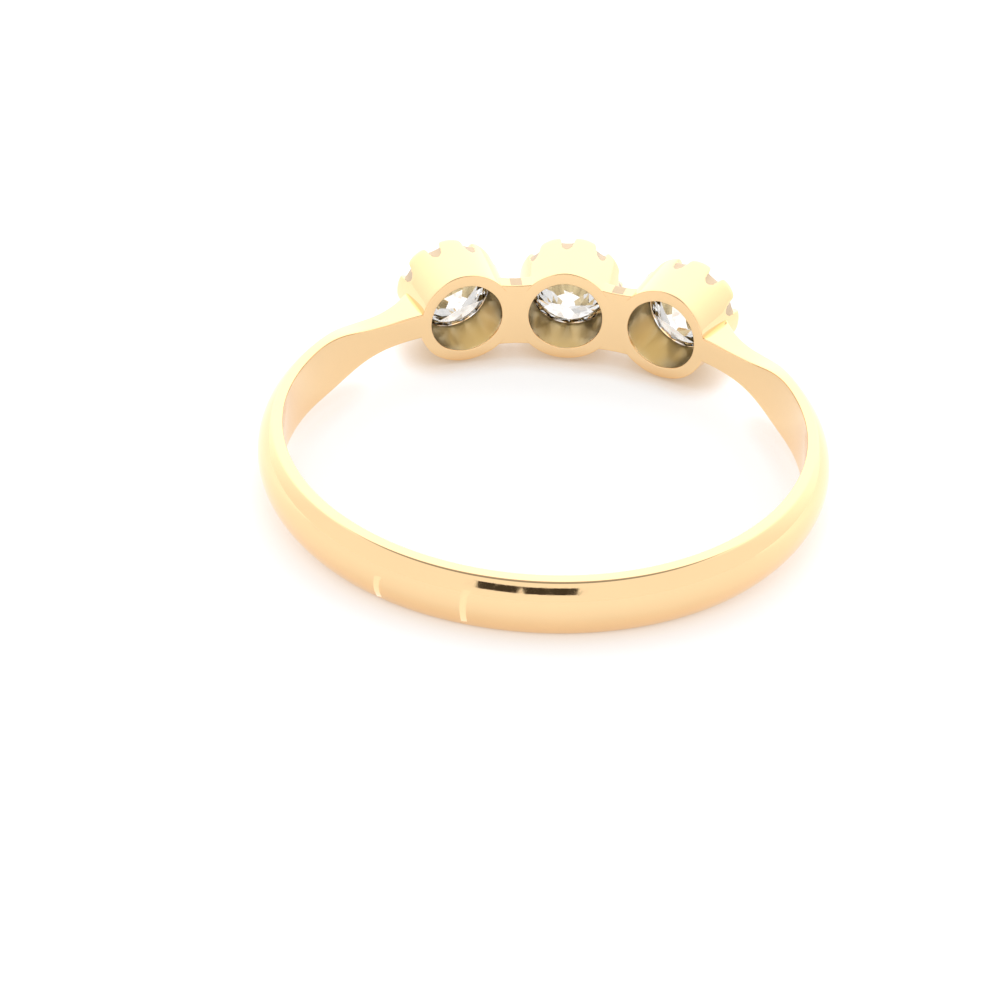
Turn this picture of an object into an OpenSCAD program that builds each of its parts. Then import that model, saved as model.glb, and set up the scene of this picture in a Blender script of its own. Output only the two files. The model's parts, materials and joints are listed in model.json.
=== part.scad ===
// Three stone ring, lying on its side as it rests by itself. Millimetres.
// The finger's axis is nearly upright, and the stones point along +Y.
// The ring touches the surface at the back of the band and at the rims of the two outer collets,
// so it leans by a small angle that is worked out below.

/* [Finger hole] */
// Inside diameter of the ring
finger_d = 17.2; // [15.6:0.1:20]

/* [Band] */
// Thickness of the band at the crown of its outer face
band_t = 0.85; // [0.7:0.05:1.4]
// How far the outer face falls from its crown to its edges where the band is widest
dome_fall = 0.5; // [0.3:0.05:0.6]
// Width of the band at the back
back_w = 1.95; // [1.6:0.05:2.6]
// Width of the band at the sides of the finger
side_w = 2.15; // [1.8:0.05:2.8]

/* [Shoulders] */
// Width of each shoulder where it meets its collet
shoulder_w = 0.95; // [0.8:0.05:1.3]
// Length over which the band narrows to that, in the direction of the stones
taper_length = 3.5; // [2.5:0.1:4]
// Height above the finger at which the shoulder's outer face meets the side of its collet
shoulder_h = 1.5; // [1.3:0.05:1.7]
// Radius of the hollow curve in which it rises to that height
sweep_r = 5; // [3.5:0.1:6]

/* [Collets] */
// Gap between neighbouring feet, which the joint fills
feet_gap = 0.06; // [0.06:0.02:0.3]
// Height of the claws' tips above the finger
collet_h = 2.65; // [2.4:0.05:3.2]
// Outer diameter of a collet at its foot
foot_d = 3.42; // [3.3:0.02:3.8]
// Outer diameter of a collet at its widest, level with the stone's girdle
rim_d = 3.76; // [3.7:0.02:4.2]
// Diameter of the open back at the finger
back_hole_d = 2.56; // [2:0.02:2.7]
// Width of the ledge that the stone sits over
ledge = 0.14; // [0.1:0.02:0.2]
// Thickness of the joint that bridges two collets at their feet
joint_t = 0.65; // [0.4:0.05:1]
// Width of that joint, along the finger
joint_w = 2.45; // [1.6:0.05:2.6]

/* [Claws] */
// Number of claws on each collet
claws = 9; // [6:1:10]
// Width of the notch between two claws at the rim
notch_w = 0.8; // [0.5:0.05:0.9]
// Width of the notch at its rounded foot
notch_foot_w = 0.5; // [0.3:0.05:0.5]
// Depth of the notch below the claws' tips
notch_depth = 0.5; // [0.3:0.05:0.7]
// Depth of the file's mark that runs down the collet's outside from each notch
mark_depth = 0.14; // [0.08:0.02:0.16]
// How far a claw's tip leans in over the stone's girdle
claw_lean = 0.18; // [0.1:0.02:0.24]

/* [Stones] */
// Diameter of each stone
stone_d = 3.05; // [2.8:0.05:3.1]
// Diameter of its table, across the corners
table_d = 1.7; // [1.4:0.05:1.9]
// Height of its crown, from the girdle to the table
crown_h = 0.48; // [0.35:0.02:0.55]
// Thickness of its girdle
girdle_t = 0.06; // [0.04:0.01:0.12]
// Depth of its pavilion, from the girdle to the culet
pavilion_h = 1.28; // [1.1:0.02:1.4]
// Diameter of the small flat culet
culet_d = 0.2; // [0.1:0.02:0.4]
// Height of the girdle's upper edge above the finger
girdle_h = 2.17; // [2:0.01:2.3]
// Gap between each stone and its seat
seat_gap = 0.03; // [0.02:0.01:0.06]

/* [Hidden] */
$fn = 180;
LEFT = -1;
CENTRE = 0;
RIGHT = 1;
// The angle round each collet's axis at which its first notch is cut, left, centre and right
NOTCH_START = [10, 24.5, 19];
// The claws' rounded backs, a row for each bend: its height above the girdle as a share of the
// tip's, and how far it leans in as a share of the lean at the claw's inner face
UP = 0;
IN = 1;
CLAW_BACK = [
    [0.45, 0.2],
    [0.85, 0.9],
    [1, 1.7]
];
// Main facets round a stone, and where those of its pavilion narrow, as a share of its radius
mains = 8;
pavilion_share = 0.4;

finger_r = finger_d / 2;
stone_r = stone_d / 2;
rim_r = rim_d / 2;
foot_r = foot_d / 2;
back_hole_r = back_hole_d / 2;
crown_r = finger_r + band_t;
// Angle between neighbouring collets, and half the angle that one foot takes up
collet_angle = 2 * asin((foot_d + feet_gap) / finger_d);
foot_angle = asin(foot_r / finger_r);
// The shoulders: where the band's width starts and ends its fall
taper_to = finger_r * cos(collet_angle + foot_angle);
taper_from = taper_to - taper_length;
// How far the shoulder's hollow curve dips under the band's crown, so that the two surfaces cross
dip = 0.02;
// The hollow curve's middle lies sweep_out from the finger's axis, at sweep_angle from the collet's:
// the curve meets the collet's side at [meet_x, meet_y] and the band's crown at its far end
sweep_out = crown_r + sweep_r - dip;
flare = (rim_r - foot_r) / girdle_h;
meet_x = foot_r + flare * shoulder_h;
meet_y = finger_r + shoulder_h;
meet_out = norm([meet_x, meet_y]);
sweep_angle = atan(meet_x / meet_y)
    + acos((pow(sweep_out, 2) + pow(meet_out, 2) - pow(sweep_r, 2)) / (2 * sweep_out * meet_out));
dome_r = (pow(side_w / 2, 2) + pow(dome_fall, 2)) / (2 * dome_fall);
// Blanks start this far inside the finger hole, which is bored through them last, and the joints
// start a little less far in
overlap = 0.6;
joint_overlap = 0.5;
// The joints run this share of the way from the centre collet's axis to the outer ones
joint_reach = 0.85;
// A foot's cone runs this many times as far in as the finger hole cuts into it
foot_reach = 1.4;
// How far the band runs on inside the shoulder
run_on = 0.8;
// How far the shoulder climbs on inside the collet's wall
climb_on = 0.25;
// The notches' cutters end this far outside their own rim, short of the next collet
notch_past = 0.1;
// Under each notch is a file's mark, this share of the notch's foot wide, whose cutter rises this
// share of it above the notch's floor and starts this far above the shoulders and off the wall
mark_share = 0.8;
mark_rise = 0.3;
mark_above = 0.02;
// Cutters run this far past the ring, and past the band's width
beyond = 2 * finger_r;
tall = 2 * side_w;

// The seat gap of a sloping face, measured upright
function upright(slope) = seat_gap * sqrt(1 + pow(slope, 2));

// Corners between the crown's facets, and the steepest edges, which rise from the girdle to them
half_step = cos(180 / mains);
star_r = (table_d / 2 * half_step + stone_r) / 2;
star_h = crown_h * (stone_r - star_r * half_step) / (stone_r - table_d / 2);
crown_slope = star_h / (stone_r - star_r);

// Seat: the bore above the ledge, the ledge itself, and the inner face of the claws
seat_r = stone_r + seat_gap;
ledge_r = seat_r - ledge;
pavilion_slope = pavilion_h / (stone_r - culet_d / 2);
ledge_h = girdle_h - girdle_t - (stone_r - ledge_r) * pavilion_slope - upright(pavilion_slope);
tip_r = seat_r - claw_lean;
tip_under_h = girdle_h + (stone_r - tip_r) * crown_slope + upright(crown_slope);
tip_back_r = rim_r - CLAW_BACK[2][IN] * claw_lean;

// Lie of the ring: the back's lower edge and the outer rims' lowest points are level
back_edge_r = crown_r - dome_r + sqrt(pow(dome_r, 2) - pow(back_w / 2, 2));
rim_y = (finger_r + girdle_h) * cos(collet_angle);
lean = atan((rim_r - back_w / 2) / (rim_y + back_edge_r));
lift = back_edge_r * sin(lean) + back_w / 2 * cos(lean);
// How far the leaning ring reaches to its front and to its back, and the middle between them
front_y = (finger_r + collet_h) * cos(lean) + tip_back_r * sin(lean);
back_y = (crown_r - dome_r) * cos(lean) + dome_r;
centre_y = (front_y - back_y) / 2;

// Sets what it holds, built with the finger's axis on Z, down on the surface
module lie() {
    translate([0, -centre_y, lift]) rotate([lean, 0, 0]) children();
}

// Sets what it holds, built on Z, along the axis of one collet, starting at the finger's axis
module along_collet(place) {
    rotate([0, 0, -place * collet_angle]) rotate([-90, 0, 0]) children();
}

// The band's section, turned round the finger from inside one shoulder to inside the other
module band_blank() {
    end_angle = collet_angle + sweep_angle - run_on / crown_r * 180 / PI;
    rotate_extrude(start = 90 + end_angle, angle = 360 - 2 * end_angle) intersection() {
        translate([crown_r - dome_r, 0]) circle(r = dome_r);
        translate([finger_r - overlap, -tall / 2]) square([band_t + overlap, tall]);
    }
}

// The right shoulder: it leaves the band in a hollow curve, as round across as the band is, and
// climbs its collet
module shoulder_blank() {
    start_r = finger_r - overlap;
    top = meet_y + climb_on;
    deepest_fall = 4 * dome_fall;
    rotate([0, 0, -collet_angle]) difference() {
        linear_extrude(height = tall, center = true) polygon([
            [-back_hole_r / 2, top],
            [-back_hole_r / 2, start_r],
            [start_r * sin(sweep_angle), start_r * cos(sweep_angle)],
            [sweep_out * sin(sweep_angle), sweep_out * cos(sweep_angle)],
            [foot_d, top]
        ]);
        rotate([0, 0, -sweep_angle]) translate([0, sweep_out, 0]) rotate_extrude() difference() {
            translate([0, -tall]) square([sweep_r + deepest_fall, 2 * tall]);
            translate([sweep_r + dome_r, 0]) circle(r = dome_r);
        }
    }
}

// What is filed away above the shank: a straight slope at the back, then two equal arcs that
// bring it down to the shoulders' width
module flank_cut() {
    fall = (side_w - shoulder_w) / 2;
    arc_r = (pow(taper_length, 2) + pow(fall, 2)) / (4 * fall);
    half_length = taper_length / 2;
    rotate([90, 0, 90]) linear_extrude(height = 2 * beyond, center = true) {
        polygon([
            [-beyond, back_w / 2],
            [-crown_r, back_w / 2],
            [0, side_w / 2],
            [taper_from, side_w / 2],
            [taper_from, tall],
            [-beyond, tall]
        ]);
        difference() {
            translate([taper_from, side_w / 2 - fall]) square([half_length, tall - side_w / 2 + fall]);
            translate([taper_from, side_w / 2 - arc_r]) circle(r = arc_r);
        }
        intersection() {
            translate([taper_from + half_length, 0]) square([half_length, tall]);
            translate([taper_to, shoulder_w / 2 + arc_r]) circle(r = arc_r);
        }
        translate([taper_to, shoulder_w / 2]) square([beyond, tall - shoulder_w / 2]);
    }
}

// Files a blank to its width from above and below
module filed() {
    difference() {
        children();
        flank_cut();
        mirror([0, 0, 1]) flank_cut();
    }
}

// Band and shoulders in one
module shank() {
    filed() band_blank();
    filed() shoulder_blank();
    filed() mirror([1, 0, 0]) shoulder_blank();
}

// Outside of one collet: a cup that flares to its rim, with the claws' rounded backs above
module collet_outside() {
    start_h = foot_reach * (sqrt(pow(finger_r, 2) - pow(foot_r, 2)) - finger_r);
    translate([0, 0, finger_r]) rotate([0, 0, 90]) rotate_extrude() polygon(concat(
        [[0, start_h], [foot_r + flare * start_h, start_h], [rim_r, girdle_h]],
        [for (row = CLAW_BACK) [rim_r - row[IN] * claw_lean, girdle_h + row[UP] * (collet_h - girdle_h)]],
        [[0, collet_h]]
    ));
}

// Inside of one collet: the open back, the ledge, the seat, and the claws' inner faces
module collet_inside() {
    spread = (ledge_r - back_hole_r) / ledge_h;
    start_h = -2 * overlap;
    translate([0, 0, finger_r]) rotate_extrude() polygon([
        [0, start_h],
        [back_hole_r + spread * start_h, start_h],
        [ledge_r, ledge_h],
        [seat_r, ledge_h],
        [seat_r, girdle_h + seat_gap],
        [tip_r, tip_under_h],
        [tip_r, collet_h + overlap],
        [0, collet_h + overlap]
    ]);
}

// Cutters for the notches between the claws, one every 360 / claws degrees, each with its mark: a
// steep flat that runs out of the collet's outside above the shoulders
module notches(first) {
    start_r = tip_r - claw_lean / 2;
    length = rim_r + notch_past - start_r;
    floor_h = finger_r + collet_h - notch_depth;
    foot_h = floor_h + notch_foot_w / 2;
    top_h = finger_r + collet_h + overlap;
    // The flanks start just inside the round foot
    flank_x = 0.45 * notch_foot_w;
    mark_r = rim_r - mark_depth;
    mark_top_h = floor_h + mark_rise * notch_foot_w;
    mark_past = notch_past / 2;
    low_h = shoulder_h + mark_above;
    for (k = [0 : claws - 1]) rotate([0, 0, first + k * 360 / claws]) {
        translate([start_r, 0, 0]) rotate([90, 0, 90]) linear_extrude(height = length) {
            translate([0, foot_h]) circle(d = notch_foot_w);
            polygon([
                [-flank_x, foot_h],
                [flank_x, foot_h],
                [notch_w / 2, top_h],
                [-notch_w / 2, top_h]
            ]);
        }
        rotate([90, 0, 0]) linear_extrude(height = mark_share * notch_foot_w, center = true) polygon([
            [mark_r, mark_top_h],
            [mark_r, floor_h],
            [foot_r + flare * low_h + mark_above, finger_r + low_h],
            [rim_r + mark_past, finger_r + low_h],
            [rim_r + mark_past, mark_top_h]
        ]);
    }
}

// The joints that bridge the collets at their feet, in one piece that ends inside the outer feet
module joints() {
    reach = joint_reach * collet_angle;
    start_r = finger_r - joint_overlap;
    rotate_extrude(start = 90 - reach, angle = 2 * reach)
        translate([start_r, -joint_w / 2]) square([finger_r + joint_t - start_r, joint_w]);
}

// All the soldered gold, bored for the finger last
module gold_mount() {
    color("gold") lie() difference() {
        union() {
            shank();
            joints();
            for (place = [LEFT, CENTRE, RIGHT]) along_collet(place) collet_outside();
        }
        cylinder(r = finger_r, h = beyond, center = true);
        for (place = [LEFT, CENTRE, RIGHT]) along_collet(place) {
            collet_inside();
            notches(NOTCH_START[place + 1]);
        }
    }
}

// A ring of count corners of a stone, at radius r and height h, turned by a share of one step
function corners(count, r, h, turn = 0) =
    [for (k = [0 : count - 1]) let (a = (k + turn) * 360 / count) [r * cos(a), r * sin(a), h]];

// A round brilliant cut with a small culet, its girdle's upper edge at height 0
module brilliant() {
    sides = 2 * mains;
    lower_r = stone_r * pavilion_share;
    lower_h = -girdle_t - (stone_r - lower_r * half_step) * pavilion_slope;
    points = concat(
        corners(mains, table_d / 2, crown_h),
        corners(mains, star_r, star_h, 0.5),
        corners(sides, stone_r, 0),
        corners(sides, stone_r, -girdle_t),
        corners(mains, lower_r, lower_h, 0.5),
        corners(mains, culet_d / 2 / half_step, -girdle_t - pavilion_h, 0.5)
    );
    // Where each ring of corners starts in the list
    star = mains;
    girdle = star + mains;
    under = girdle + sides;
    lower = under + sides;
    culet = lower + mains;
    last = mains - 1;
    faces = concat(
        [[for (k = [last : -1 : 0]) k]],
        [for (k = [0 : last]) [k, (k + 1) % mains, star + k]],
        [for (k = [0 : last]) [k, star + k, girdle + 2 * k, star + (k + last) % mains]],
        [for (k = [0 : last]) [star + k, girdle + 2 * k + 1, girdle + 2 * k]],
        [for (k = [0 : last]) [star + k, girdle + (2 * k + 2) % sides, girdle + 2 * k + 1]],
        [for (k = [0 : sides - 1])
            [girdle + k, girdle + (k + 1) % sides, under + (k + 1) % sides, under + k]],
        [for (k = [0 : last]) [under + 2 * k, under + 2 * k + 1, lower + k]],
        [for (k = [0 : last]) [under + 2 * k + 1, under + (2 * k + 2) % sides, lower + k]],
        [for (k = [0 : last]) let (before = (k + last) % mains)
            [under + 2 * k, lower + k, culet + k, culet + before, lower + before]],
        [[for (k = [0 : last]) culet + k]]
    );
    polyhedron(points = points, faces = faces);
}

// One stone, seated in its collet
module stone(place) {
    color("azure") lie() along_collet(place) translate([0, 0, finger_r + girdle_h]) brilliant();
}

module stone_left() {
    stone(LEFT);
}

module stone_centre() {
    stone(CENTRE);
}

module stone_right() {
    stone(RIGHT);
}

gold_mount();
stone_left();
stone_centre();
stone_right();
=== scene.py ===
import json
import math

import bpy
from mathutils import Matrix, Vector


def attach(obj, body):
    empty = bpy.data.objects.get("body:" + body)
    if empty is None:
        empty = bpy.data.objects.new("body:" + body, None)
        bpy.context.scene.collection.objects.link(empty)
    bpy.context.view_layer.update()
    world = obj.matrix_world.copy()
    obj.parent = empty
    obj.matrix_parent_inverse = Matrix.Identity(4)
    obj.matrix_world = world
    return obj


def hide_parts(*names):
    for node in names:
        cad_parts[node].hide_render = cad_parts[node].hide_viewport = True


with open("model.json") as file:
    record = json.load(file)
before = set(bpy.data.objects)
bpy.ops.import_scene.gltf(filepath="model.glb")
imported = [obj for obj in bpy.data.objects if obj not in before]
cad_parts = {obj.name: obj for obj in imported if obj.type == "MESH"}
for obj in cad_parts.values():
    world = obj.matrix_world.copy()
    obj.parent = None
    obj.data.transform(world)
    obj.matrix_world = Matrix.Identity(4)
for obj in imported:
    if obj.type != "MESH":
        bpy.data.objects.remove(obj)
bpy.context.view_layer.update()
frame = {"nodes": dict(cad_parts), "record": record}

# Camera: it looks down on the back of the band from close by, with a long lens, at the photograph's
# angle. The finger hole tells where the ring is and how far it leans as it lies on its side.
hole = next(m for m in frame["record"]["mounts"] if m["name"] == "finger_hole")
hole_centre = Vector(hole["pos_m"])
lean = math.atan2(-hole["axis"][1], hole["axis"][2])
camera_distance = 0.120
camera_rise = math.radians(32.9)
camera_turn = math.radians(3.36)
camera_roll = math.radians(3.08)
photo_px = 1000
focal_px = 3637
ring_centre_px = (543.9, 449.0)

ahead = Vector((0, math.cos(camera_rise), -math.sin(camera_rise)))
level = Vector((1, 0, 0))
upward = level.cross(ahead)
rightward = level * math.cos(camera_roll) + upward * math.sin(camera_roll)
upward = upward * math.cos(camera_roll) - level * math.sin(camera_roll)
off_right = (ring_centre_px[0] - photo_px / 2) / focal_px
off_up = (photo_px / 2 - ring_centre_px[1]) / focal_px
aim = (ahead - rightward * off_right - upward * off_up).normalized()
rightward = aim.cross(upward).normalized()
upward = rightward.cross(aim)
stand = Matrix((rightward, upward, -aim)).transposed().to_4x4()
stand.translation = -ahead * camera_distance

bpy.ops.object.camera_add()
camera = bpy.context.object
camera.name = "camera"
camera.data.sensor_width = 36
camera.data.lens = camera.data.sensor_width * focal_px / photo_px
camera.data.clip_start = 0.01
lying = Matrix.Translation(hole_centre) @ Matrix.Rotation(lean, 4, "X")
camera.matrix_world = lying @ Matrix.Rotation(camera_turn, 4, "Z") @ stand
bpy.context.scene.camera = camera

# Shank: one length of 18 carat yellow gold of D section, bent round the finger. Towards the stones
# it is filed narrow and swept up into two shoulders that are soldered to the outer collets.
# The pieces are modelled in millimetres round the finger's axis, with the stones towards +Y.
finger_r = hole["dims"]["r_mm"]
band_t = 0.85
mid_r = finger_r + band_t / 2
crown_r = finger_r + band_t
dome_fall = 0.5
back_half = 1.95 / 2
side_half = 2.15 / 2
shoulder_half = 0.95 / 2
foot_r = 3.42 / 2
rim_r = 3.76 / 2
feet_gap = 0.06
girdle_h = 2.17
collet_angle = 2 * math.degrees(math.asin((foot_r + feet_gap / 2) / finger_r))
foot_angle = math.degrees(math.asin(foot_r / finger_r))
taper_length = 3.5
shoulder_h = 1.5
sweep_r = 5
end_past_collet = 9.3
shank_end = collet_angle + end_past_collet
shank_turn = 360 - 2 * shank_end
shank_steps = 98
dome_rows = 3
inner_cuts = 2
edge_round = 0.07
sharp_edge = 38
smooth_levels = 2
same_place = 0.01
weld_gap = 0.0005


def pick(piece, test, part="VERT"):
    """Selects, in edit mode, what passes a test of its place, and nothing else."""
    bpy.ops.object.mode_set(mode="OBJECT")
    mesh = piece.data
    for items in (mesh.vertices, mesh.edges, mesh.polygons):
        items.foreach_set("select", [False] * len(items))
    if part == "VERT":
        for vertex in mesh.vertices:
            vertex.select = test(vertex.co)
    else:
        for face in mesh.polygons:
            face.select = test(face.center)
    bpy.ops.object.mode_set(mode="EDIT")
    bpy.ops.mesh.select_mode(type=part)


def finish_mesh(piece, width):
    """Closes a cage's holes, rounds its edges to a width in millimetres and smooths it."""
    bpy.ops.object.mode_set(mode="EDIT")
    bpy.ops.mesh.select_mode(type="VERT")
    bpy.ops.mesh.select_all(action="SELECT")
    bpy.ops.mesh.remove_doubles(threshold=weld_gap)
    bpy.ops.mesh.fill_holes(sides=0)
    bpy.ops.mesh.normals_make_consistent(inside=False)
    bpy.ops.object.mode_set(mode="OBJECT")
    rounding = piece.modifiers.new("rounded edges", "BEVEL")
    rounding.width = width
    rounding.segments = 2
    rounding.limit_method = "ANGLE"
    rounding.angle_limit = math.radians(sharp_edge)
    bpy.ops.object.modifier_apply(modifier=rounding.name)
    smooth = piece.modifiers.new("smooth", "SUBSURF")
    smooth.levels = smooth_levels
    smooth.render_levels = smooth_levels
    bpy.ops.object.modifier_apply(modifier=smooth.name)
    bpy.ops.object.shade_smooth()


def lay_down(piece):
    """Sets a piece from the bench, in millimetres, to its place in the lying ring, in metres."""
    piece.matrix_world = lying @ Matrix.Scale(0.001, 4) @ piece.matrix_world
    bpy.ops.object.transform_apply(location=True, rotation=True, scale=True)


def half_width(angle):
    """Half the shank's width at an angle from the stones, after the file's two equal arcs."""
    y = mid_r * math.cos(math.radians(angle))
    narrow_y = finger_r * math.cos(math.radians(collet_angle + foot_angle))
    wide_y = narrow_y - taper_length
    fall = side_half - shoulder_half
    arc_r = (taper_length ** 2 + fall ** 2) / (4 * fall)
    if y < 0:
        return side_half + (side_half - back_half) * y / crown_r
    if y < wide_y:
        return side_half
    if y < wide_y + taper_length / 2:
        return side_half - arc_r + math.sqrt(arc_r ** 2 - (y - wide_y) ** 2)
    if y < narrow_y:
        return shoulder_half + arc_r - math.sqrt(arc_r ** 2 - (narrow_y - y) ** 2)
    return shoulder_half


def crown_radius(angle):
    """The outer face's radius at an angle from the stones: the shoulder rises in a hollow arc."""
    meet_x = foot_r + (rim_r - foot_r) * shoulder_h / girdle_h
    meet_y = finger_r + shoulder_h
    meet_out = math.hypot(meet_x, meet_y)
    sweep_out = crown_r + sweep_r
    spread = (sweep_out ** 2 + meet_out ** 2 - sweep_r ** 2) / (2 * sweep_out * meet_out)
    sweep_angle = math.atan2(meet_x, meet_y) + math.acos(spread)
    away = sweep_angle - math.radians(angle - collet_angle)
    if away < 0:
        return crown_r
    reach = sweep_out * math.sin(away)
    return sweep_out * math.cos(away) - math.sqrt(sweep_r ** 2 - reach ** 2)


def from_stones(place):
    """The angle from the stones' direction, in degrees, the same on both sides."""
    return math.degrees(math.atan2(abs(place.x), place.y))


bpy.ops.object.select_all(action="DESELECT")
bpy.ops.mesh.primitive_plane_add(size=1, location=(mid_r, 0, 0), rotation=(math.pi / 2, 0, 0))
shank = bpy.context.object
shank.name = "shank"
bpy.ops.transform.resize(value=(band_t, 1, 2 * side_half))
bpy.ops.object.transform_apply(location=True, rotation=True, scale=True)
bpy.ops.object.mode_set(mode="EDIT")
bpy.ops.mesh.delete(type="ONLY_FACE")
pick(shank, lambda v: v.x > mid_r)
bpy.ops.mesh.subdivide(number_cuts=2 * dome_rows - 1)
pick(shank, lambda v: v.x < mid_r)
bpy.ops.mesh.subdivide(number_cuts=inner_cuts)
bpy.ops.mesh.select_all(action="SELECT")
bpy.ops.transform.rotate(value=math.radians(shank_end - 90), orient_axis="Z", center_override=(0, 0, 0))
bpy.ops.mesh.spin(steps=shank_steps, angle=math.radians(shank_turn), center=(0, 0, 0), axis=(0, 0, 1))
dome_r = (side_half ** 2 + dome_fall ** 2) / (2 * dome_fall)
step = shank_turn / shank_steps
for k in range(shank_steps // 2 + 1):
    angle = shank_end + k * step
    narrow = half_width(angle) / side_half
    pick(shank, lambda v: abs(from_stones(v) - angle) < step / 4)
    bpy.ops.transform.resize(value=(1, 1, narrow), center_override=(0, 0, 0))
    for row in range(dome_rows + 1):
        z = row / dome_rows * half_width(angle)
        fall = dome_r - math.sqrt(dome_r ** 2 - z ** 2)
        grown = (crown_radius(angle) - fall) / crown_r
        pick(shank, lambda v: abs(from_stones(v) - angle) < step / 4
             and math.hypot(v.x, v.y) > mid_r and abs(abs(v.z) - z) < same_place)
        bpy.ops.transform.resize(value=(grown, grown, 1), center_override=(0, 0, 0))
finish_mesh(shank, edge_round)
lay_down(shank)

tone_scale = 350
darker_tone = 0.97
scratch_scale = 2600
scratch_span = (0.35, 0.75)
scratch_height = 0.00002


def add_range(nodes, links, value, span, result, soft=False):
    """Turns a node's value from one range into another, each given by its two ends."""
    node = nodes.new("ShaderNodeMapRange")
    node.interpolation_type = "SMOOTHSTEP" if soft else "LINEAR"
    for end, number in zip(("From Min", "From Max", "To Min", "To Max"), (*span, *result)):
        node.inputs[end].default_value = number
    links.new(value, node.inputs["Value"])
    return node.outputs["Result"]


def polished_gold(name, colour, dull, scratch_depth):
    """Yellow gold with faint scratches, dull being its roughness between them."""
    material = bpy.data.materials.new(name)
    material.use_nodes = True
    nodes, links = material.node_tree.nodes, material.node_tree.links
    metal = nodes["Principled BSDF"]
    metal.inputs["Metallic"].default_value = 1
    place = nodes.new("ShaderNodeTexCoord")
    tone = nodes.new("ShaderNodeTexNoise")
    tone.inputs["Scale"].default_value = tone_scale
    tone.inputs["Detail"].default_value = 3
    links.new(place.outputs["Object"], tone.inputs["Vector"])
    tint = nodes.new("ShaderNodeValToRGB")
    tint.color_ramp.elements[0].position = 0.3
    tint.color_ramp.elements[0].color = (*[c * darker_tone for c in colour], 1)
    tint.color_ramp.elements[1].position = 0.7
    tint.color_ramp.elements[1].color = (*colour, 1)
    links.new(tone.outputs["Fac"], tint.inputs["Fac"])
    links.new(tint.outputs["Color"], metal.inputs["Base Color"])
    scratches = nodes.new("ShaderNodeTexNoise")
    scratches.inputs["Scale"].default_value = scratch_scale
    scratches.inputs["Detail"].default_value = 6
    scratches.inputs["Distortion"].default_value = 1.5
    links.new(place.outputs["Object"], scratches.inputs["Vector"])
    worn = dull + 2 * scratch_depth
    wear = add_range(nodes, links, scratches.outputs["Fac"], scratch_span, (dull, worn))
    links.new(wear, metal.inputs["Roughness"])
    relief = nodes.new("ShaderNodeBump")
    relief.inputs["Strength"].default_value = scratch_depth
    relief.inputs["Distance"].default_value = scratch_height
    links.new(scratches.outputs["Fac"], relief.inputs["Height"])
    links.new(relief.outputs["Normal"], metal.inputs["Normal"])
    return material


gold = polished_gold("polished gold", (0.95, 0.67, 0.37), 0.05, 0.04)
shank.data.materials.append(gold)
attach(shank, "root")
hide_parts("gold_mount")

# Collets: three small gold cups, open at the back, turned and flared to a rim that is filed into
# nine claws, with a file's mark running down from each notch. The claws are pushed over the stone's
# edge. One claw's share is modelled and repeated.
claws = 9
notch_start = {"left": 10, "centre": 24.5, "right": 19}
place_turn = {"left": collet_angle, "centre": 0, "right": -collet_angle}
share = 360 / claws
claw_half = 13
notch_cuts = 2
same_angle = 1
small_round = 0.04
seat_r = 1.555
ledge_r = 1.415
ledge_h = 1.97
back_hole_r = 1.28
notch_h = 2.15
notch_out_r = 1.875
mark_r = 1.74
mark_low_h = 1.5
mark_low_r = 1.8275
mark_side_h = 2.0
mark_side_r = 1.867
inside_low_h = 0.03
# Margins of the painted shade in the notches.
dark_side = 0.5
dark_above = 0.05
dark_inward = 0.02
dark_outward = 0.015
cup_rows = [
    # radius, height above the finger
    (1.745, 0.45),
    (1.79, 1.0),
    (1.82, 1.4),
    (notch_out_r, notch_h),
    (mark_r, notch_h),
    (seat_r, notch_h),
    (seat_r, ledge_h),
    (ledge_r, ledge_h),
    (1.35, 1.0),
    (back_hole_r, 0),
]
claw_rows = [
    # rise, lean in, share of the width below, share of the thickness below
    (0.10, 0.00, 0.94, 1.00),
    (0.15, 0.15, 0.86, 1.40),
    (0.16, 0.03, 0.80, 0.82),
    (0.09, 0.03, 0.74, 0.66),
]

bpy.ops.object.select_all(action="DESELECT")
bpy.ops.mesh.primitive_circle_add(vertices=4 * claws, radius=foot_r, fill_type="NOTHING",
                                  rotation=(0, 0, math.radians(share / 8)))
cup = bpy.context.object
cup.name = "cup"
bpy.ops.object.transform_apply(location=True, rotation=True, scale=True)


def round_from_claw(place):
    """The angle round the cup from the middle of the modelled claw, in degrees."""
    return math.degrees(math.atan2(place.y, place.x))


# The circle has four corners to a claw. Those of one claw and the first of the next are kept, and
# moved to the claws' edges. The notch between them gets two more, on the round.
kept_from = -0.4 * share
kept_to = 0.65 * share
pick(cup, lambda v: not kept_from < round_from_claw(v) < kept_to)
bpy.ops.mesh.delete(type="VERT")
for at, to in ((share * 3 / 8, claw_half), (share * 5 / 8, share - claw_half)):
    along = math.cos(math.radians(to)) / math.cos(math.radians(at))
    aside = math.sin(math.radians(to)) / math.sin(math.radians(at))
    pick(cup, lambda v: abs(abs(round_from_claw(v)) - at) < same_angle)
    bpy.ops.transform.resize(value=(along, aside, 1), center_override=(0, 0, 0))
pick(cup, lambda v: round_from_claw(v) > claw_half - same_angle)
bpy.ops.mesh.subdivide(number_cuts=notch_cuts)
pick(cup, lambda v: abs(round_from_claw(v) - share / 2) < share / 8)
notch_half = math.radians(share / 2 - claw_half)
out_again = 1 / math.hypot(math.cos(notch_half), math.sin(notch_half) / (notch_cuts + 1))
bpy.ops.transform.resize(value=(out_again, out_again, 1), center_override=(0, 0, 0))
pick(cup, lambda v: True)
low_r, low_h = foot_r, 0
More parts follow.
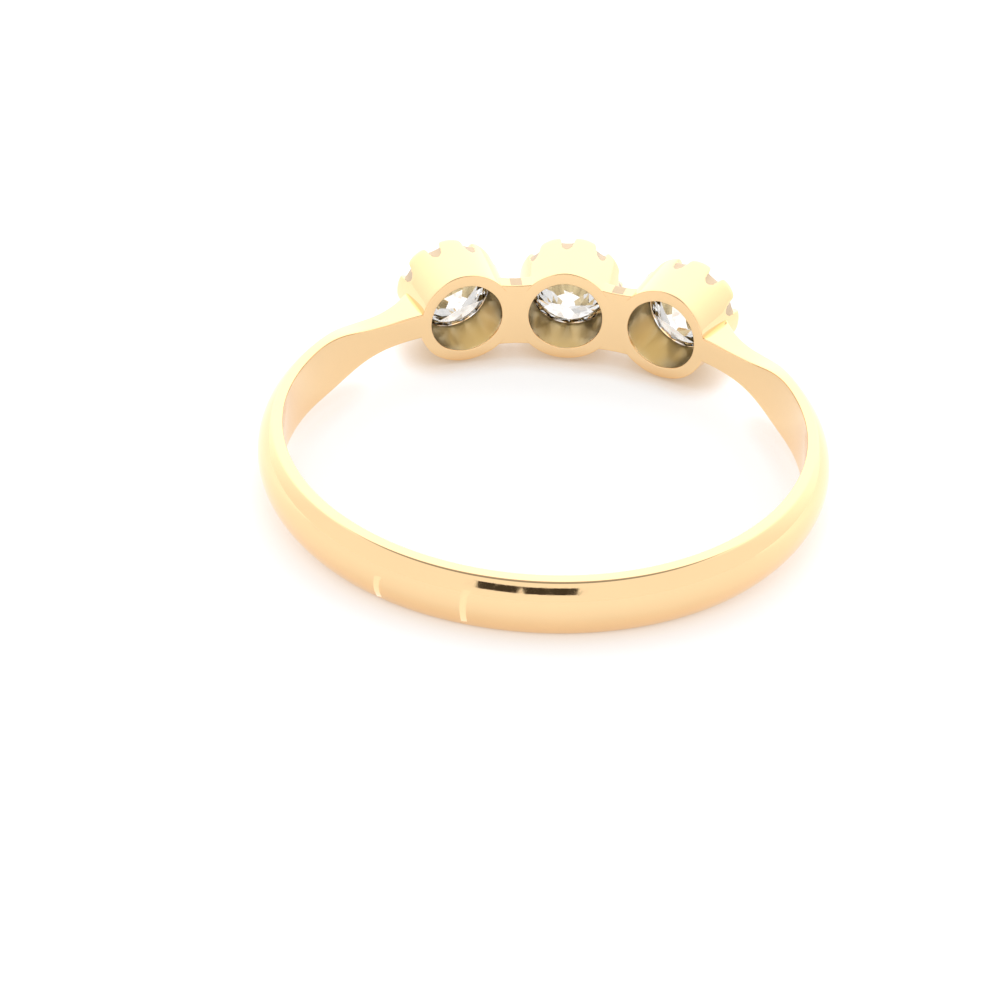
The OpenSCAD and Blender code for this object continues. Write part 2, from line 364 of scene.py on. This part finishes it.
for row_r, row_h in cup_rows:
    bpy.ops.mesh.extrude_edges_move(TRANSFORM_OT_translate={"value": (0, 0, row_h - low_h)})
    bpy.ops.transform.resize(value=(row_r / low_r, row_r / low_r, 1), center_override=(0, 0, 0))
    low_r, low_h = row_r, row_h
pick(cup, lambda v: abs(v.z) < same_place)
bpy.ops.mesh.bridge_edge_loops()
pick(cup, lambda f: abs(f.z - notch_h) < same_place and abs(round_from_claw(f)) < claw_half, "FACE")
inner_x, claw_h = seat_r, notch_h
for rise, lean_in, across, through in claw_rows:
    bpy.ops.mesh.extrude_region_move(TRANSFORM_OT_translate={"value": (-lean_in, 0, rise)})
    inner_x, claw_h = inner_x - lean_in, claw_h + rise
    bpy.ops.transform.resize(value=(through, across, 1), center_override=(inner_x, 0, claw_h))
# The file's mark: in the notch the rim's outer corners sink down the cup, and beside it a little.
rim_between = (mark_r + notch_out_r) / 2
for past, row_h, row_r in (
    (claw_half + same_angle, mark_low_h, mark_low_r),
    (claw_half - same_angle, mark_side_h, mark_side_r),
):
    pick(cup, lambda v: abs(v.z - notch_h) < same_place and math.hypot(v.x, v.y) > rim_between
         and abs(round_from_claw(v)) > past and round_from_claw(v) < share - past)
    bpy.ops.transform.resize(value=(row_r / notch_out_r, row_r / notch_out_r, 1), center_override=(0, 0, 0))
    bpy.ops.transform.translate(value=(0, 0, row_h - notch_h))
bpy.ops.mesh.select_all(action="SELECT")
bpy.ops.mesh.spin(steps=claws - 1, dupli=True, angle=math.radians(360 - share),
                  center=(0, 0, 0), axis=(0, 0, 1))
bpy.ops.mesh.select_all(action="SELECT")
bpy.ops.mesh.remove_doubles(threshold=weld_gap)
bpy.ops.object.mode_set(mode="OBJECT")


def in_cup(place):
    """Whether a place is inside the cup, under the stone and over the foot."""
    return math.hypot(place.x, place.y) < ledge_r + same_place and inside_low_h < place.z < notch_h


def in_notch(place, first):
    """Whether a place is on the floor or the flanks of one of a collet's notches."""
    off = (math.degrees(math.atan2(place.y, place.x)) - first + share / 2) % share - share / 2
    wall_r = foot_r + (rim_r - foot_r) * place.z / girdle_h
    return (abs(off) < share / 2 - claw_half - dark_side and mark_low_h < place.z < notch_h + dark_above
            and seat_r - dark_inward < math.hypot(place.x, place.y) < wall_r - dark_outward)


inside_gold = polished_gold("unpolished gold inside the collets", (0.93, 0.76, 0.44), 0.3, 0.005)
# Painted shade: a dark brown, rougher gold for the collets' notches and the creases over the joints,
# standing in for the shade there.
painted_shade_gold = polished_gold("gold with painted shade in the notches and creases", (0.55, 0.42, 0.28), 0.35, 0.02)
for place, first in notch_start.items():
    bpy.ops.object.select_all(action="DESELECT")
    collet = cup.copy()
    collet.data = cup.data.copy()
    collet.name = "collet_" + place
    bpy.context.collection.objects.link(collet)
    bpy.context.view_layer.objects.active = collet
    collet.select_set(True)
    collet.rotation_euler.z = math.radians(first - share / 2)
    bpy.ops.object.transform_apply(location=True, rotation=True, scale=True)
    for x in sorted({round(abs(v.co.x), 3) for v in collet.data.vertices if abs(v.co.z) < same_place}):
        pick(collet, lambda v: abs(v.z) < same_place and abs(abs(v.x) - x) < same_place / 10)
        sag = finger_r - math.sqrt(finger_r ** 2 - x ** 2)
        bpy.ops.transform.translate(value=(0, 0, -sag))
    finish_mesh(collet, small_round)
    for finish in (gold, inside_gold, painted_shade_gold):
        collet.data.materials.append(finish)
    pick(collet, in_cup, "FACE")
    collet.active_material_index = 1
    bpy.ops.object.material_slot_assign()
    # The notches' floors and flanks take the painted shade.
    pick(collet, lambda f: in_notch(f, first), "FACE")
    collet.active_material_index = 2
    bpy.ops.object.material_slot_assign()
    bpy.ops.object.mode_set(mode="OBJECT")
    turned = Matrix.Rotation(math.radians(place_turn[place]), 4, "Z") @ Matrix.Rotation(-math.pi / 2, 4, "X")
    collet.matrix_world = turned @ Matrix.Translation((0, 0, finger_r))
    lay_down(collet)
    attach(collet, "root")
    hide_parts("gold_mount")
bpy.data.objects.remove(cup)

# Joints: where two collets meet at their feet they are soldered to a short bridge of gold. The
# solder has drawn hollow sides between them, and it is filed flush in the finger hole. The creases
# over and under it get darker gold as painted shade.
joint_t = 0.65
joint_half = 1.225
waist = 0.93
hollow = 0.08
joint_rows = 8
crease_deep = 0.1
crease_half = 0.25
crease_low = 0.06
mid_wall_r = (foot_r + back_hole_r) / 2
half_pitch = foot_r + feet_gap / 2

bpy.ops.object.select_all(action="DESELECT")
for place, turn in (("left", collet_angle / 2), ("right", -collet_angle / 2)):
    bpy.ops.mesh.primitive_cube_add(size=1, location=(0, finger_r + joint_t / 2, 0))
    joint = bpy.context.object
    joint.name = "joint_" + place
    bpy.ops.transform.resize(value=(1, joint_t, 2 * joint_half))
    bpy.ops.object.transform_apply(location=True, rotation=True, scale=True)
    bpy.ops.object.mode_set(mode="EDIT")
    bpy.ops.mesh.select_all(action="SELECT")
    bpy.ops.mesh.bisect(plane_co=(0, 0, 0), plane_no=(1, 0, 0))
    for k in range(1, joint_rows):
        z = joint_half * (2 * k / joint_rows - 1)
        bpy.ops.mesh.select_all(action="SELECT")
        bpy.ops.mesh.bisect(plane_co=(0, 0, z), plane_no=(0, 0, 1))
    for k in range(joint_rows + 1):
        z = joint_half * (2 * k / joint_rows - 1)
        reach = half_pitch - math.sqrt(mid_wall_r ** 2 - z ** 2)
        pick(joint, lambda v: abs(v.z - z) < same_place)
        bpy.ops.transform.resize(value=(2 * reach, 1, 1), center_override=(0, 0, 0))
    pick(joint, lambda v: abs(v.x) < same_place)
    bpy.ops.transform.resize(value=(1, 1, waist), center_override=(0, 0, 0))
    pick(joint, lambda v: abs(v.x) < same_place and v.y > finger_r + joint_t / 2)
    bpy.ops.transform.translate(value=(0, -hollow, 0))
    finish_mesh(joint, small_round)
    joint.matrix_world = Matrix.Rotation(math.radians(turn), 4, "Z")
    for finish in (gold, painted_shade_gold):
        joint.data.materials.append(finish)
    # The creases over and under the bridge take the painted shade.
    pick(joint, lambda f: abs(f.z) > waist * joint_half - crease_deep and abs(f.x) < crease_half
         and f.y > finger_r + crease_low, "FACE")
    joint.active_material_index = 1
    bpy.ops.object.material_slot_assign()
    bpy.ops.object.mode_set(mode="OBJECT")
    lay_down(joint)
    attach(joint, "root")
    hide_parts("gold_mount")

# Stones: three round brilliants with small culets. They keep their cut facets as they are, and get
# the clear, strongly bending look of the real stones.
clear = bpy.data.materials.new("clear cut stone")
clear.use_nodes = True
stone_look = clear.node_tree.nodes["Principled BSDF"]
stone_look.inputs["Base Color"].default_value = (1, 1, 1, 1)
stone_look.inputs["Transmission Weight"].default_value = 1
stone_look.inputs["Roughness"].default_value = 0
stone_look.inputs["IOR"].default_value = 2.42
for place in ("left", "centre", "right"):
    stone = frame["nodes"]["stone_" + place]
    stone.data.materials.clear()
    stone.data.materials.append(clear)

# Floor: white paper under the ring, lit from below too, more so outside the ring and towards the
# stones. Close to the ring it darkens to a warm brown, most under the stones, as a contact shadow
# beside polished gold does.
floor_size = 3
floor_drop = 0.00002
shadow_reach = 0.0011
shadow_brown = (0.55, 0.42, 0.29, 1)
shadow_pale = (0.93, 0.82, 0.75, 1)
paper_white = (1, 1, 1, 1)
paper_grey = (0.45, 0.45, 0.45, 1)
pale_at = 0.55
deeper_y = (0, 0.005)
deeper_power = (0.7, 3.3)
least_glow = 0.65
glow_y = (-0.009, 0.002)
more_glow = (0, 0.22)
ring_edge = (0.0085, 0.0105)


def add_math(nodes, links, operation, *values):
    """Works out a number from other nodes' values and plain numbers, in their order."""
    node = nodes.new("ShaderNodeMath")
    node.operation = operation
    for socket, value in zip(node.inputs, values):
        if isinstance(value, bpy.types.NodeSocket):
            links.new(value, socket)
        else:
            socket.default_value = value
    return node.outputs["Value"]


bpy.ops.object.select_all(action="DESELECT")
bpy.ops.mesh.primitive_plane_add(size=floor_size, location=(0, 0, -floor_drop))
floor = bpy.context.object
floor.name = "floor"
white = bpy.data.materials.new("white floor")
white.use_nodes = True
nodes, links = white.node_tree.nodes, white.node_tree.links
paper = nodes["Principled BSDF"]
paper.inputs["Base Color"].default_value = paper_grey
paper.inputs["Roughness"].default_value = 1
paper.inputs["Specular IOR Level"].default_value = 0
spot = nodes.new("ShaderNodeTexCoord")
apart = nodes.new("ShaderNodeSeparateXYZ")
links.new(spot.outputs["Object"], apart.inputs["Vector"])
open_sky = nodes.new("ShaderNodeAmbientOcclusion")
open_sky.samples = 4
open_sky.inputs["Distance"].default_value = shadow_reach
power = add_range(nodes, links, apart.outputs["Y"], deeper_y, deeper_power)
deepened = add_math(nodes, links, "POWER", open_sky.outputs["AO"], power)
warmth = nodes.new("ShaderNodeValToRGB")
warmth.color_ramp.elements[0].color = shadow_brown
warmth.color_ramp.elements[1].color = paper_white
warmth.color_ramp.elements.new(pale_at).color = shadow_pale
links.new(deepened, warmth.inputs["Fac"])
links.new(warmth.outputs["Color"], paper.inputs["Emission Color"])
away = nodes.new("ShaderNodeVectorMath")
away.operation = "DISTANCE"
away.inputs[1].default_value = (0, 0, 0)
links.new(spot.outputs["Object"], away.inputs[0])
behind = add_range(nodes, links, apart.outputs["Y"], glow_y, more_glow, soft=True)
outside = add_range(nodes, links, away.outputs["Value"], ring_edge, (0, 1), soft=True)
paper_glow = add_math(nodes, links, "MULTIPLY_ADD", behind, outside, least_glow)
links.new(paper_glow, paper.inputs["Emission Strength"])
floor.data.materials.append(white)

# Room: white all round, brightest high up behind the stones and dim straight overhead. The band's
# dome and the claws show it as their soft changes from pale to deep gold.
height_share = 0.6
wall_span = (0.2, 1.15)
wall_glow = (1.12, 1.82)
above_span = (0.78, 0.9)
above_share = (1, 0.3)

sky = bpy.context.scene.world or bpy.data.worlds.new("room")
bpy.context.scene.world = sky
sky.use_nodes = True
nodes, links = sky.node_tree.nodes, sky.node_tree.links
look_to = nodes.new("ShaderNodeTexCoord")
parts = nodes.new("ShaderNodeSeparateXYZ")
links.new(look_to.outputs["Generated"], parts.inputs["Vector"])
back_and_up = add_math(nodes, links, "MULTIPLY_ADD", parts.outputs["Z"], height_share, parts.outputs["Y"])
back_wall = add_range(nodes, links, back_and_up, wall_span, wall_glow, soft=True)
overhead = add_range(nodes, links, parts.outputs["Z"], above_span, above_share, soft=True)
brightness = add_math(nodes, links, "MULTIPLY", back_wall, overhead)
nodes["Background"].inputs["Color"].default_value = (1, 1, 1, 1)
links.new(brightness, nodes["Background"].inputs["Strength"])
bpy.context.scene.view_settings.view_transform = "Standard"

# Cards: a dark card hangs behind the camera, split by a slit, and the back of the band shows it as
# two dark bars. The camera doesn't see it, and it casts no shadow.
card_far = 0.22
card_low = 18
card_high = 33
card_turns = {"card_left": (-22.5, -6.3), "card_right": (-5.0, 15.5)}


def glow(name, strength, tone=(1, 1, 1)):
    """A plain glowing material for what the ring reflects."""
    material = bpy.data.materials.new(name)
    material.use_nodes = True
    look = material.node_tree.nodes["Principled BSDF"]
    look.inputs["Base Color"].default_value = (0, 0, 0, 1)
    look.inputs["Roughness"].default_value = 1
    look.inputs["Specular IOR Level"].default_value = 0
    look.inputs["Emission Color"].default_value = (*tone, 1)
    look.inputs["Emission Strength"].default_value = strength
    return material


def only_reflected(thing):
    """Hides a thing from the camera and from dull surfaces, so that only the polished ones show it."""
    thing.visible_camera = False
    thing.visible_diffuse = False
    thing.visible_shadow = False


dark = glow("dark card", 0.06, (1, 0.9, 0.75))
bpy.ops.object.select_all(action="DESELECT")
for name, (turn_from, turn_to) in card_turns.items():
    turn = math.radians((turn_from + turn_to) / 2) + camera_turn
    rise = math.radians((card_low + card_high) / 2)
    bpy.ops.mesh.primitive_plane_add(size=1)
    card = bpy.context.object
    card.name = name
    wide = 2 * card_far * math.tan(math.radians((turn_to - turn_from) / 2)) * math.cos(rise)
    high = 2 * card_far * math.tan(math.radians((card_high - card_low) / 2))
    bpy.ops.transform.resize(value=(wide, high, 1))
    out = Vector((math.cos(rise) * math.sin(turn), -math.cos(rise) * math.cos(turn), math.sin(rise)))
    card.location = hole_centre + out * card_far
    card.rotation_euler = out.to_track_quat("Z", "Y").to_euler()
    card.data.materials.append(dark)
    only_reflected(card)

# Strips: three bright strips, two on the floor and one that stands where the longer of them ends.
# The left half of the band's back shows them as two pale stripes.
strip_wide = 0.0002
strip_spread = 43
strip_far = 0.2
strip_lift = 0.000005
end_wide = strip_wide * strip_spread
side_wide = strip_wide * 1.6
long_start = (-0.0017, -0.0099)
long_turn = -21.8
strip_rows = [
    # name, start on the floor, turn, length, width at its start, width at its end, whether it stands
    ("strip_left", long_start, long_turn, strip_far, strip_wide, end_wide, False),
    ("strip_side", (-0.0045, -0.00875), -50.5, 0.0026, strip_wide, side_wide, False),
    ("strip_wall", long_start, long_turn, 0.03, end_wide, end_wide, True),
]

bright = glow("bright strip", 1.24)
bpy.ops.object.select_all(action="DESELECT")
for name, start, turn, long, near_wide, far_wide, stands in strip_rows:
    toward = math.radians(turn)
    bpy.ops.mesh.primitive_plane_add(size=1)
    strip = bpy.context.object
    strip.name = name
    bpy.ops.transform.resize(value=(near_wide, long, 1))
    bpy.ops.object.transform_apply(location=True, rotation=True, scale=True)
    pick(strip, lambda v: v.y < 0)
    bpy.ops.transform.resize(value=(far_wide / near_wide, 1, 1), center_override=(0, 0, 0))
    bpy.ops.object.mode_set(mode="OBJECT")
    middle, height, tilt = (strip_far, long / 2, math.pi / 2) if stands else (long / 2, strip_lift, 0)
    strip.rotation_euler = (tilt, 0, toward)
    strip.location = (start[0] + math.sin(toward) * middle, start[1] - math.cos(toward) * middle, height)
    strip.data.materials.append(bright)
    only_reflected(strip)
